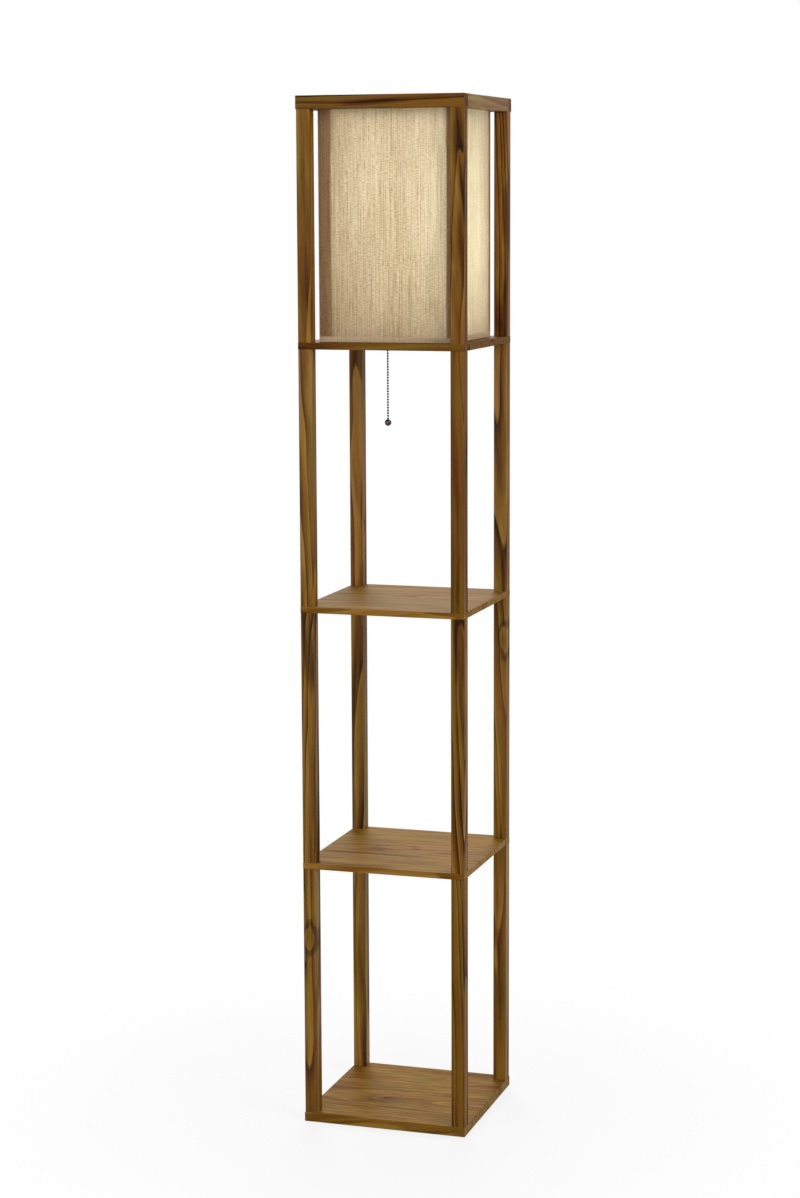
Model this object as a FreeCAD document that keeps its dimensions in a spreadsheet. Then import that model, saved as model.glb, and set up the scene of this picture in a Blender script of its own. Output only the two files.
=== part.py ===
import FreeCAD, Part
import math
import os
import re
import Sketcher

# Shelf floor lamp. Millimetres, +Z up. The origin is the centre of the footprint, on the floor.
# The front faces -Y. Every size is a cell of the sheet, and every sub-part reads those cells.

doc = FreeCAD.newDocument("ShelfFloorLamp")
sheet = doc.addObject("Spreadsheet::Sheet", "Sizes")

SIZES = {
    # plan
    "plan_side": 260,         # outer square of the posts and the shelves
    "proud": 0.6,             # the base and the top stand this far outside the posts
    "post_side": 21,
    "post_edge": 1.2,         # rounded long edges of the posts
    "board_edge": 0.5,        # eased edges of the panels
    # heights, from the floor up
    "pad_thick": 1.5,
    "base_thick": 15,
    "bay_high": 391.5,        # each of the three lower bays
    "shelf_thick": 9.5,
    "floor_thick": 10.5,      # the panel under the shade
    "head_high": 345.5,       # the bay round the shade
    "rail_high": 20,
    # felt pads
    "pad_wide": 22,
    "pad_inset": 32,          # pad centres, from the shelves' edges
    # threaded joints of the posts
    "stud_wide": 6,
    "stud_gap": 0.3,          # round a stud in a panel
    "thread_gap": 0.02,       # round a stud in its insert
    "insert_wide": 8.5,
    "insert_long": 10,
    "stud_hole_spare": 4,     # drilled past the insert, in the posts only
    "screw_head": 12,
    "screw_head_high": 3,
    "screw_key": 4,
    "screw_key_deep": 2,
    "dowel_wide": 5,
    "dowel_long": 24,
    "dowel_lift": 15,         # dowel axis above the underside of the top
    # shade
    "shade_gap": 4.5,         # between the fabric and the posts
    "shade_lap": 10.5,        # the shade reaches this far up behind the top rails
    "fabric_thick": 0.9,
    "fabric_corner": 1.6,
    "batten_wide": 19,
    "batten_thick": 8,
    "glue_gap": 0.1,          # at the shade frame's butt joints
    "shade_screw_wide": 3,
    "shade_screw_head": 6,
    "shade_screw_head_high": 1.6,
    "shade_screw_bite": 6,    # into the shade's foot rails
    # threaded tube that holds the lampholder
    "nipple_wide": 10,
    "nipple_bore": 7,
    "nipple_below": 6,        # below the head floor
    "nipple_above": 11,       # above the head floor
    "nipple_hole_gap": 0.25,
    "washer_wide": 22,
    "washer_thick": 1.2,
    "nut_flats": 14,
    "nut_high": 4,
    "bushing_bore": 5,
    "bushing_long": 6,
    "bushing_flange": 0.9,
    # lampholder, heights above the head floor
    "socket_wide": 42,
    "socket_high": 30,
    "chamber_floor": 13,
    "chamber_wide": 11.6,
    "beak_wide": 16,
    "beak_floor": 8,
    "beak_wall": 2.5,
    "chain_out": 30,          # chain line, from the lampholder's axis
    "chain_room": 4.5,        # chamber past the chain line
    "lid_thick": 4,
    "lid_screw_place": 18.9,
    "lid_screw_wide": 2.5,
    "lid_screw_head": 4,
    "lid_screw_head_high": 1.2,
    "lid_screw_long": 12,
    "terminal_flat": 18,      # flat for the wire screws, from the axis
    "terminal_low": 12,
    "terminal_place": 7,
    "terminal_lift": 20,
    "terminal_wide": 3.4,
    "terminal_head": 6,
    "terminal_head_high": 1.8,
    "terminal_long": 6,
    "skirt_wide": 33,
    "skirt_wall": 1.3,
    "skirt_high": 26,
    "shell_pitch": 3.63,      # rounded lamp thread, seven to the inch
    "shell_turns": 6,
    "shell_radius": 13.4,     # mean radius of the holder's thread
    "shell_depth": 0.35,      # the thread's wave, each way
    "shell_wall": 0.4,
    "shell_hole": 5,
    "shell_bare_turns": 2,    # turns of the holder below the lamp's own thread
    "lamp_gap": 0.45,         # between the lamp's thread and the holder's
    "contact_wide": 8,
    "contact_high": 4,
    "contact_stem": 2.4,
    # pull switch
    "pull_travel": 8,
    "lever_lift": 23,         # lever axis above the head floor
    "lever_long": 22,
    "lever_thick": 1.4,
    "lever_end": 1.9,
    "lever_hub": 3,
    "lever_pin": 1.6,
    "lever_pin_long": 4.4,
    "lever_tail": 10.8,
    "tail_tip": 0.6,
    "pin_wide": 2,
    "pin_bite": 3,            # into each wall of the chamber
    "pin_gap": 0.04,
    "wheel_tip": 5,
    "wheel_root": 3.6,
    "wheel_teeth": 8,
    "wheel_thick": 3,
    "wheel_bite": 1,          # overlap of the tail and the tooth circle
    "wheel_phase": 5,         # degrees, keeps the tooth off the tail
    "leaf_thick": 0.4,
    "leaf_wide": 4,
    "leaf_gap": 0.4,
    "leaf_room": 3.2,         # from the wheel's teeth to the chamber's right end
    "spring_wide": 5,
    "spring_wire": 0.6,
    "spring_turns": 5,
    "spring_place": 12,       # from the lever's axis, towards the chain
    "spring_slack": 1,        # under the lever's middle, so that the coil clears its slope
    # pull chain
    "bead_wide": 3.2,
    "bead_pitch": 4.2,
    "link_wide": 1,
    "link_sink": 2,           # last link, into the ball
    "bead_gap": 0.3,          # at the bead where the chain bends
    "ball_wide": 10.5,
    "ball_drop": 118.5,       # ball's centre below the head floor's underside
    "swing_drop": 4,          # swing centre below the head floor's underside
    "clevis_wide": 4.4,
    "clevis_deep": 5.2,
    "clevis_slot": 2.2,
    "clevis_down": 4.4,
    "clevis_up": 2.2,
    "clevis_slot_down": 2.9,
    "clevis_gap": 0.35,       # round the lever's pin
    "guide_bore": 4.4,
    "guide_wide": 6,
    "guide_flange": 9,
    "guide_flange_high": 0.8,
    "guide_bell": 10,
    "guide_bell_high": 3.5,
    "eyelet_bore": 7,
    "eyelet_wide": 9,
    "eyelet_flange": 13,
    "eyelet_flange_high": 0.7,
    # bulb
    "bulb_wide": 60,
    "bulb_long": 110,         # from the tip contact to the crown
    "bulb_lift": 38.3,        # tip contact above the head floor
    "bulb_neck": 12.2,        # radius where the glass meets the cap
    "glass_wall": 1,
    "crown_angle": 35,        # degrees below the crown's widest ring, where the waist begins
    "waist_sag": 0.6,         # bow of the waist, inwards
}

for row, (alias, size) in enumerate(SIZES.items(), 1):
    sheet.set(f"A{row}", str(size))
    sheet.setAlias(f"A{row}", alias)
doc.recompute()

# ---- levels and places, as expressions of the cells ----

base_top = "(pad_thick + base_thick)"
lower_shelf_under = f"({base_top} + bay_high)"
lower_shelf_top = f"({lower_shelf_under} + shelf_thick)"
upper_shelf_under = f"({lower_shelf_top} + bay_high)"
upper_shelf_top = f"({upper_shelf_under} + shelf_thick)"
floor_under = f"({upper_shelf_top} + bay_high)"
floor_top = f"({floor_under} + floor_thick)"
head_top = f"({floor_top} + head_high)"
post_place = "((plan_side - post_side) / 2)"
proud_side = "(plan_side + 2 * proud)"
rail_place = f"(({proud_side} - post_side) / 2)"
pad_place = "(plan_side / 2 - pad_inset)"
shade_side = "(plan_side - 2 * post_side - 2 * shade_gap)"
shade_high = "(head_high + shade_lap)"
frame_half = f"({shade_side} / 2 - fabric_thick)"
pivot_lift = f"({floor_top} + lever_lift)"
lid_top = f"({floor_top} + socket_high + lid_thick)"

CORNERS = {"front_left": (-1, -1), "front_right": (1, -1), "back_left": (-1, 1), "back_right": (1, 1)}


def sized(text):
    """The expression with each cell's alias led by the sheet's name."""
    return re.sub(r"[a-z_]+", lambda word: "Sizes." + word[0] if word[0] in SIZES else word[0], str(text))


def number(text):
    return float(sheet.evalExpression(sized(text)))


# ---- bodies, sketches and features ----

def make_body(label, x="0", y="0", z="0"):
    body = doc.addObject("PartDesign::Body", label)
    body.Label = label
    place(body, x, y, z)
    return body


def place(piece, x="0", y="0", z="0"):
    for axis, text in zip("xyz", (x, y, z)):
        piece.setExpression(f".Placement.Base.{axis}", sized(text))


def origin_item(body, role):
    return next(item for item in body.Origin.OriginFeatures if item.Role == role)


def make_sketch(body, role="XY_Plane", lift="0"):
    sketch = body.newObject("Sketcher::SketchObject", body.Name + "_sketch")
    sketch.AttachmentSupport = [(origin_item(body, role), "")]
    sketch.MapMode = "FlatFace"
    if lift != "0":
        sketch.setExpression("AttachmentOffset.Base.z", sized(lift))
    return sketch


def drive(sketch, kind, size, *elements):
    """One dimension of a sketch, tied to an expression."""
    index = sketch.addConstraint(Sketcher.Constraint(kind, *elements, number(size)))
    sketch.setExpression(f"Constraints[{index}]", sized(size))


def add_point(sketch, geometry, point, x, y):
    drive(sketch, "DistanceX", x, -1, 1, geometry, point)
    drive(sketch, "DistanceY", y, -1, 1, geometry, point)


def add_outline(sketch, corners):
    """A closed outline of straight lines through the corners, each a pair of expressions."""
    points = [FreeCAD.Vector(number(x), number(y), 0) for x, y in corners]
    first = sketch.GeometryCount
    count = len(points)
    for index in range(count):
        sketch.addGeometry(Part.LineSegment(points[index], points[(index + 1) % count]))
    for index in range(count):
        following = first + (index + 1) % count
        sketch.addConstraint(Sketcher.Constraint("Coincident", first + index, 2, following, 1))
    for index, (x, y) in enumerate(corners):
        add_point(sketch, first + index, 1, x, y)


def add_box(sketch, left, low, right, high):
    add_outline(sketch, [(left, low), (right, low), (right, high), (left, high)])


def add_centred_box(sketch, wide, deep):
    add_box(sketch, f"-({wide}) / 2", f"-({deep}) / 2", f"({wide}) / 2", f"({deep}) / 2")


def add_circle(sketch, wide, x="0", y="0"):
    centre = FreeCAD.Vector(number(x), number(y), 0)
    circle = sketch.addGeometry(Part.Circle(centre, FreeCAD.Vector(0, 0, 1), number(wide) / 2))
    add_point(sketch, circle, 3, x, y)
    drive(sketch, "Diameter", wide, circle)


def add_hexagon(sketch, flats, x="0", y="0"):
    corners = []
    for turn in range(6):
        across = math.cos(math.radians(60 * turn)) / math.cos(math.radians(30)) / 2
        up = math.sin(math.radians(60 * turn)) / math.cos(math.radians(30)) / 2
        corners.append((f"{x} + {flats} * {across:.6f}", f"{y} + {flats} * {up:.6f}"))
    add_outline(sketch, corners)


def add_pad(body, sketch, length, midplane=False):
    pad = body.newObject("PartDesign::Pad", body.Name + "_pad")
    pad.Profile = sketch
    pad.Midplane = midplane
    pad.setExpression("Length", sized(length))
    return pad


def add_pocket(body, sketch, length=None, midplane=False, upwards=False):
    """A cut that has to remove something: downwards from its sketch, or upwards, or both ways."""
    doc.recompute()
    before = body.Shape.Volume
    pocket = body.newObject("PartDesign::Pocket", body.Name + "_pocket")
    pocket.Profile = sketch
    pocket.Midplane = midplane
    pocket.Reversed = upwards
    if length is None:
        pocket.Type = "ThroughAll"
    else:
        pocket.setExpression("Length", sized(length))
    doc.recompute()
    if body.Shape.Volume > before - 1e-3:
        raise RuntimeError(f"{pocket.Name} removes nothing")
    return pocket


def add_turning(body, corners):
    """A solid of revolution round the body's own Z, from corners given as radius and height."""
    sketch = make_sketch(body, "XZ_Plane")
    add_outline(sketch, corners)
    turning = body.newObject("PartDesign::Revolution", body.Name + "_turning")
    turning.Profile = sketch
    turning.ReferenceAxis = (sketch, ["V_Axis"])
    turning.Angle = 360
    return turning


def ease_edges(body, feature_type, size, chosen):
    """Rounds or bevels the straight edges that the test picks, by their direction and place."""
    doc.recompute()
    base = body.Tip
    names = []
    for index, edge in enumerate(base.Shape.Edges, 1):
        if not isinstance(edge.Curve, Part.Line):
            continue
        if chosen(edge):
            names.append(f"Edge{index}")
    feature = body.newObject(feature_type, body.Name + "_edges")
    feature.Base = (base, names)
    feature.setExpression("Radius" if feature_type.endswith("Fillet") else "Size", sized(size))


def upright(edge):
    return abs(edge.tangentAt(edge.FirstParameter).z) > 0.99


def level(edge):
    return not upright(edge)


def four_times(body, feature):
    """Repeats a feature round the lamp's axis, so that four corners are alike."""
    pattern = body.newObject("PartDesign::PolarPattern", body.Name + "_round")
    pattern.Originals = [feature]
    pattern.Axis = (origin_item(body, "Z_Axis"), [""])
    pattern.Angle = 360
    pattern.Occurrences = 4
    body.Tip = pattern


def corner_circles(sketch, wide, spread):
    for side, face in CORNERS.values():
        add_circle(sketch, wide, f"{side} * {spread}", f"{face} * {spread}")


def coded(label, shape, x=0, y=0, z=0):
    """A sub-part whose shape a formula gives."""
    piece = doc.addObject("Part::Feature", label)
    piece.Label = label
    piece.Shape = shape
    piece.Placement = FreeCAD.Placement(FreeCAD.Vector(x, y, z), FreeCAD.Rotation())
    return piece


# ---- wooden panels and posts ----

def make_panel(label, side, thick, lift):
    body = make_body(label, z=lift)
    sketch = make_sketch(body)
    add_centred_box(sketch, side, side)
    add_pad(body, sketch, thick)
    ease_edges(body, "PartDesign::Chamfer", "board_edge", level)
    return body


def drill_corners(body, wide):
    sketch = make_sketch(body)
    corner_circles(sketch, wide, post_place)
    add_pocket(body, sketch, upwards=True)


def make_base():
    body = make_panel("base_panel", proud_side, "base_thick", "pad_thick")
    drill_corners(body, "(stud_wide + 2 * stud_gap)")
    sinks = make_sketch(body)
    corner_circles(sinks, "(screw_head + 2 * stud_gap)", post_place)
    add_pocket(body, sinks, "screw_head_high + stud_gap", upwards=True)


def make_head_floor():
    body = make_panel("head_floor", "plan_side", "floor_thick", floor_under)
    drill_corners(body, "(stud_wide + 2 * stud_gap)")
    holes = make_sketch(body)
    add_circle(holes, "nipple_wide + 2 * nipple_hole_gap")
    add_circle(holes, "eyelet_wide", "-chain_out")
    corner_circles(holes, "shade_screw_wide", shade_screw_place)
    add_pocket(body, holes, upwards=True)
    sinks = make_sketch(body)
    corner_circles(sinks, "shade_screw_head", shade_screw_place)
    add_pocket(body, sinks, "shade_screw_head_high", upwards=True)


def make_post(label, corner, lift, length):
    """A square post with rounded edges, drilled for an insert at each end."""
    side, face = CORNERS[corner]
    body = make_body(f"{label}_{corner}", f"{side} * {post_place}", f"{face} * {post_place}", lift)
    outline = make_sketch(body)
    add_centred_box(outline, "post_side", "post_side")
    add_pad(body, outline, length)
    ease_edges(body, "PartDesign::Fillet", "post_edge", upright)
    foot = make_sketch(body)
    add_circle(foot, "insert_wide")
    add_pocket(body, foot, "insert_long", upwards=True)
    spare = make_sketch(body)
    add_circle(spare, "stud_wide + 2 * stud_gap")
    add_pocket(body, spare, "insert_long + stud_hole_spare", upwards=True)
    head = make_sketch(body, lift=length)
    add_circle(head, "insert_wide")
    add_pocket(body, head, "insert_long")
    head_spare = make_sketch(body, lift=length)
    add_circle(head_spare, "stud_wide + 2 * stud_gap")
    add_pocket(body, head_spare, "insert_long + stud_hole_spare")


def make_long_rail(label, face):
    """The front or back rail of the top: full length, drilled for two inserts and two dowels."""
    body = make_body(label, y=f"{face} * {rail_place}", z=head_top)
    sketch = make_sketch(body)
    add_centred_box(sketch, proud_side, "post_side")
    add_pad(body, sketch, "rail_high")
    ease_edges(body, "PartDesign::Chamfer", "board_edge", level)
    inserts = make_sketch(body)
    for side in (-1, 1):
        add_circle(inserts, "insert_wide", f"{side} * {post_place}", f"{face} * ({post_place} - {rail_place})")
    add_pocket(body, inserts, "insert_long", upwards=True)
    dowels = make_sketch(body, "XZ_Plane", f"{face} * post_side / 2")
    for side in (-1, 1):
        add_circle(dowels, "dowel_wide", f"{side} * {rail_place}", "dowel_lift")
    add_pocket(body, dowels, "dowel_long / 2", upwards=face < 0)


def make_short_rail(label, side):
    """The left or right rail of the top, between the long ones, with a dowel hole in each end."""
    body = make_body(label, f"{side} * {rail_place}", z=head_top)
    sketch = make_sketch(body)
    add_centred_box(sketch, "post_side", f"({proud_side} - 2 * post_side)")
    add_pad(body, sketch, "rail_high")
    ease_edges(body, "PartDesign::Chamfer", "board_edge", lambda edge: abs(edge.tangentAt(0).y) > 0.99)
    for face in (-1, 1):
        hole = make_sketch(body, "XZ_Plane", f"{-face} * ({proud_side} / 2 - post_side)")
        add_circle(hole, "dowel_wide", "0", "dowel_lift")
        add_pocket(body, hole, "dowel_long / 2", upwards=face > 0)


# ---- fasteners of the frame ----

def make_base_pads():
    body = make_body("base_pads")
    sketch = make_sketch(body)
    corner_circles(sketch, "pad_wide", pad_place)
    add_pad(body, sketch, "pad_thick")


def make_base_screws():
    body = make_body("base_screws", z="pad_thick")
    heads = make_sketch(body)
    corner_circles(heads, "screw_head", post_place)
    add_pad(body, heads, "screw_head_high")
    shanks = make_sketch(body)
    corner_circles(shanks, "stud_wide", post_place)
    add_pad(body, shanks, "base_thick + insert_long")
    keys = make_sketch(body)
    for side, face in CORNERS.values():
        add_hexagon(keys, "screw_key", f"{side} * {post_place}", f"{face} * {post_place}")
    add_pocket(body, keys, "screw_key_deep", upwards=True)


def make_studs(label, levels):
    """Threaded studs at the four corners, each reaching one insert below and one above."""
    body = make_body(label)
    for under, thick in levels:
        sketch = make_sketch(body, lift=f"{under} - insert_long")
        corner_circles(sketch, "stud_wide", post_place)
        add_pad(body, sketch, f"{thick} + 2 * insert_long")


def make_inserts():
    body = make_body("threaded_inserts")
    above = [base_top, lower_shelf_top, upper_shelf_top, floor_top, head_top]
    below = [lower_shelf_under, upper_shelf_under, floor_under, head_top]
    for lift in [f"({foot} + glue_gap)" for foot in above] + [f"({top} - insert_long)" for top in below]:
        sketch = make_sketch(body, lift=lift)
        corner_circles(sketch, "insert_wide", post_place)
        corner_circles(sketch, "stud_wide + 2 * thread_gap", post_place)
        add_pad(body, sketch, "insert_long - glue_gap")


def make_dowels():
    body = make_body("top_rail_dowels", z=head_top)
    for face in (-1, 1):
        sketch = make_sketch(body, "XZ_Plane", f"{-face} * ({proud_side} / 2 - post_side)")
        for side in (-1, 1):
            add_circle(sketch, "dowel_wide", f"{side} * {rail_place}", "dowel_lift")
        add_pad(body, sketch, "dowel_long", midplane=True)


# ---- shade ----

shade_screw_place = f"({frame_half} - batten_wide / 2)"


def make_fabric():
    body = make_body("shade_fabric", z=floor_top)
    outer = make_sketch(body)
    add_centred_box(outer, shade_side, shade_side)
    add_pad(body, outer, shade_high)
    ease_edges(body, "PartDesign::Fillet", "fabric_corner", upright)
    inner = make_sketch(body)
    add_centred_box(inner, f"2 * {frame_half}", f"2 * {frame_half}")
    add_pocket(body, inner, upwards=True)


def make_battens():
    """Four upright strips in a pinwheel: each shows its broad side to one face only."""
    body = make_body("shade_battens", z=floor_top)
    sketch = make_sketch(body, lift="batten_thick")
    add_box(sketch, f"-{frame_half}", f"-{frame_half}", f"-{frame_half} + batten_wide",
            f"-{frame_half} + batten_thick")
    strip = add_pad(body, sketch, f"{shade_high} - 2 * batten_thick")
    four_times(body, strip)


def make_shade_rails():
    """Flat strips round the foot and the head of the shade, butted in a pinwheel."""
    body = make_body("shade_rails", z=floor_top)
    strips = []
    for lift in ("0", f"({shade_high} - batten_thick)"):
        sketch = make_sketch(body, lift=lift)
        add_box(sketch, f"-{frame_half}", f"-{frame_half}",
                f"{frame_half} - batten_wide - glue_gap", f"-{frame_half} + batten_wide")
        strips.append(add_pad(body, sketch, "batten_thick"))
    pattern = body.newObject("PartDesign::PolarPattern", "shade_rails_round")
    pattern.Originals = strips
    pattern.Axis = (origin_item(body, "Z_Axis"), [""])
    pattern.Angle = 360
    pattern.Occurrences = 4
    body.Tip = pattern
    sketch = make_sketch(body)
    corner_circles(sketch, "shade_screw_wide", shade_screw_place)
    add_pocket(body, sketch, "shade_screw_bite", upwards=True)


def make_shade_screws():
    body = make_body("shade_screws", z=floor_under)
    heads = make_sketch(body)
    corner_circles(heads, "shade_screw_head", shade_screw_place)
    add_pad(body, heads, "shade_screw_head_high")
    shanks = make_sketch(body)
    corner_circles(shanks, "shade_screw_wide", shade_screw_place)
    add_pad(body, shanks, "floor_thick + shade_screw_bite")


# ---- threaded tube and lampholder ----

def make_nipple():
    body = make_body("cord_nipple", z=f"{floor_under} - nipple_below")
    sketch = make_sketch(body)
    add_circle(sketch, "nipple_wide")
    add_circle(sketch, "nipple_bore")
    add_pad(body, sketch, "nipple_below + floor_thick + nipple_above")


def make_washers():
    body = make_body("nipple_washers")
    for lift in (f"{floor_under} - washer_thick", floor_top):
        sketch = make_sketch(body, lift=lift)
        add_circle(sketch, "washer_wide")
        add_circle(sketch, "nipple_wide + 2 * thread_gap")
        add_pad(body, sketch, "washer_thick")


def make_nut():
    body = make_body("nipple_nut", z=f"{floor_under} - washer_thick - nut_high")
    sketch = make_sketch(body)
    add_hexagon(sketch, "nut_flats")
    add_circle(sketch, "nipple_wide + 2 * thread_gap")
    add_pad(body, sketch, "nut_high")


def make_bushing():
    body = make_body("nipple_bushing", z=f"{floor_under} - nipple_below")
    sleeve = "nipple_bore / 2 - thread_gap"
    add_turning(body, [
        ("bushing_bore / 2", "-bushing_flange"),
        ("nipple_wide / 2", "-bushing_flange"),
        ("nipple_wide / 2", "0"),
        (sleeve, "0"),
        (sleeve, "bushing_long"),
        ("bushing_bore / 2", "bushing_long"),
    ])


beak_left = "(-chain_out - chain_room - beak_wall)"
wheel_place = "(-chain_out + lever_long + lever_tail + wheel_tip - wheel_bite)"
chamber_right = f"({wheel_place} + wheel_tip + leaf_room)"


def holder_outline(body, lift, beak_lift, top):
    """The lampholder's plan: a disc, and a beak that reaches out over the chain."""
    disc = make_sketch(body, lift=lift)
    add_circle(disc, "socket_wide")
    add_pad(body, disc, f"{top} - {lift}")
    beak = make_sketch(body, lift=beak_lift)
    add_box(beak, beak_left, "-beak_wide / 2", "0", "beak_wide / 2")
    add_pad(body, beak, f"{top} - {beak_lift}")


def make_socket_base():
    body = make_body("socket_base", z=floor_top)
    holder_outline(body, "washer_thick", "beak_floor", "socket_high")
    chamber = make_sketch(body, lift="socket_high")
    add_box(chamber, "-chain_out - chain_room", "-chamber_wide / 2", chamber_right, "chamber_wide / 2")
    add_pocket(body, chamber, "socket_high - chamber_floor")
    bore = make_sketch(body)
    add_circle(bore, "nipple_wide + 2 * thread_gap")
    add_pocket(body, bore, "nipple_above", upwards=True)
    wires = make_sketch(body)
    add_circle(wires, "nipple_bore")
    add_circle(wires, "guide_wide", "-chain_out")
    add_pocket(body, wires, upwards=True)
    pins = make_sketch(body, "XZ_Plane")
    for place_x in (pivot_place, wheel_place):
        add_circle(pins, "pin_wide", place_x, "lever_lift")
    add_pocket(body, pins, "chamber_wide + 2 * pin_bite", midplane=True)
    lid_screws = make_sketch(body, lift="socket_high")
    for face in (-1, 1):
        add_circle(lid_screws, "lid_screw_wide", "0", f"{face} * lid_screw_place")
    add_pocket(body, lid_screws, "lid_screw_long - lid_thick")
    flat = make_sketch(body, lift="terminal_low")
    add_box(flat, "terminal_flat", "-socket_wide / 2", "socket_wide / 2", "socket_wide / 2")
    add_pocket(body, flat, upwards=True)
    wire_screws = make_sketch(body, "YZ_Plane", "terminal_flat")
    for face in (-1, 1):
        add_circle(wire_screws, "terminal_wide", f"{face} * terminal_place", "terminal_lift")
    add_pocket(body, wire_screws, "terminal_long")


def make_socket_lid():
    body = make_body("socket_lid", z=f"{floor_top} + socket_high")
    holder_outline(body, "0", "0", "lid_thick")
    holes = make_sketch(body)
    add_circle(holes, "contact_stem")
    for face in (-1, 1):
        add_circle(holes, "lid_screw_wide", "0", f"{face} * lid_screw_place")
    add_pocket(body, holes, upwards=True)


def make_lid_screws():
    body = make_body("lid_screws", z=lid_top)
    heads = make_sketch(body)
    shanks = make_sketch(body, lift="-lid_screw_long")
    for face in (-1, 1):
        add_circle(heads, "lid_screw_head", "0", f"{face} * lid_screw_place")
        add_circle(shanks, "lid_screw_wide", "0", f"{face} * lid_screw_place")
    add_pad(body, heads, "lid_screw_head_high")
    add_pad(body, shanks, "lid_screw_long")


def make_terminal_screws():
    body = make_body("terminal_screws", z=floor_top)
    for wide, start, long in (("terminal_wide", "terminal_flat - terminal_long", "terminal_long"),
                              ("terminal_head", "terminal_flat", "terminal_head_high")):
        sketch = make_sketch(body, "YZ_Plane", start)
        for face in (-1, 1):
            add_circle(sketch, wide, f"{face} * terminal_place", "terminal_lift")
        add_pad(body, sketch, long)


def make_skirt():
    body = make_body("socket_skirt", z=lid_top)
    outer = "skirt_wide / 2"
    inner = "(skirt_wide / 2 - skirt_wall)"
    lip = "(skirt_wide / 2 + skirt_wall / 2)"
    add_turning(body, [
        (inner, "0"),
        (outer, "0"),
        (outer, "skirt_high - 2 * skirt_wall"),
        (lip, "skirt_high - skirt_wall"),
        (lip, "skirt_high"),
        (inner, "skirt_high"),
    ])


def thread_wave(radius, start):
    """Edges of the rounded lamp thread: a half circle's worth of wave out and in, per turn."""
    half = number("shell_pitch") / 2
    edges = []
    for step in range(2 * int(number("shell_turns"))):
        low = start + step * half
        swell = number("shell_depth") * (1 if step % 2 == 0 else -1)
        edges.append(Part.Arc(FreeCAD.Vector(radius, 0, low), FreeCAD.Vector(radius + swell, 0, low + half / 2),
                              FreeCAD.Vector(radius, 0, low + half)).toShape())
    return edges


def turned(edges):
    """A solid from a closed chain of profile edges in the XZ plane, turned round Z."""
    face = Part.Face(Part.Wire(edges))
    solid = face.revolve(FreeCAD.Vector(0, 0, 0), FreeCAD.Vector(0, 0, 1), 360)
    return Part.Solid(solid.Shells[0]) if not solid.Solids else solid.Solids[0]


def straight(*points):
    """Profile lines through (radius, height) points."""
    return [Part.LineSegment(FreeCAD.Vector(a[0], 0, a[1]), FreeCAD.Vector(b[0], 0, b[1])).toShape()
            for a, b in zip(points, points[1:])]


def make_screw_shell():
    wall = number("shell_wall")
    radius = number("shell_radius")
    high = number("shell_pitch * shell_turns") + wall
    profile = thread_wave(radius, wall)
    profile += straight((radius, high), (radius + wall, high))
    profile += list(reversed(thread_wave(radius + wall, wall)))
    profile += straight((radius + wall, wall), (radius + wall, 0), (number("shell_hole"), 0),
                        (number("shell_hole"), wall), (radius, wall))
    coded("screw_shell", turned(Part.__sortEdges__(profile)), z=number(lid_top))


def make_centre_contact():
    body = make_body("centre_contact", z=lid_top)
    add_turning(body, [
        ("0", "-lid_thick"),
        ("contact_stem / 2", "-lid_thick"),
        ("contact_stem / 2", "0"),
        ("contact_wide / 2", "0"),
        ("contact_wide / 2", "shell_wall"),
        ("contact_stem / 2", "contact_high"),
        ("0", "contact_high"),
    ])


# ---- pull switch ----

half_swing = math.degrees(number("pull_travel / (2 * lever_long)"))
pivot_place = f"(-chain_out + lever_long * (1 + {math.cos(math.radians(half_swing)):.6f}) / 2)"
tip_lift = f"(lever_lift + lever_long * {math.sin(math.radians(half_swing)):.6f})"


def make_lever():
    """A flat lever in the XZ plane, drawn level and then tipped up by half its swing."""
    body = make_body("switch_lever")
    outline = make_sketch(body, "XZ_Plane")
    add_outline(outline, [
        ("-lever_long", "-lever_end"),
        ("0", "-lever_hub"),
        ("lever_tail", "-tail_tip"),
        ("lever_tail", "0"),
        ("0", "lever_hub"),
        ("-lever_long", "lever_end"),
    ])
    add_pad(body, outline, "lever_thick", midplane=True)
    end = make_sketch(body, "XZ_Plane")
    add_circle(end, "2 * lever_end", "-lever_long")
    add_pad(body, end, "lever_thick", midplane=True)
    pin = make_sketch(body, "XZ_Plane")
    add_circle(pin, "lever_pin", "-lever_long")
    add_pad(body, pin, "lever_pin_long", midplane=True)
    hole = make_sketch(body, "XZ_Plane")
    add_circle(hole, "pin_wide + 2 * pin_gap")
    add_pocket(body, hole, midplane=True)
    place(body, pivot_place, "0", pivot_lift)
    body.Placement.Rotation = FreeCAD.Rotation(FreeCAD.Vector(0, 1, 0), half_swing)


def make_switch_pins():
    body = make_body("switch_pins", z=pivot_lift)
    sketch = make_sketch(body, "XZ_Plane")
    for place_x in (pivot_place, wheel_place):
        add_circle(sketch, "pin_wide", place_x)
    add_pad(body, sketch, "chamber_wide + 2 * pin_bite", midplane=True)


def make_wheel():
    """Ratchet wheel. A driving face waits just above the lever's tail."""
    body = make_body("ratchet_wheel", wheel_place, "0", pivot_lift)
    teeth = int(number("wheel_teeth"))
    step = 360 / teeth
    first = 180 + step / 2 - number("wheel_phase")
    corners = []
    for tooth in range(teeth):
        angle = math.radians(first + tooth * step)
        for radius in ("wheel_tip", "wheel_root"):
            corners.append((f"{radius} * {math.cos(angle):.6f}", f"{radius} * {math.sin(angle):.6f}"))
    sketch = make_sketch(body, "XZ_Plane")
    add_outline(sketch, corners)
    add_circle(sketch, "pin_wide + 2 * pin_gap")
    add_pad(body, sketch, "wheel_thick", midplane=True)


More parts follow.
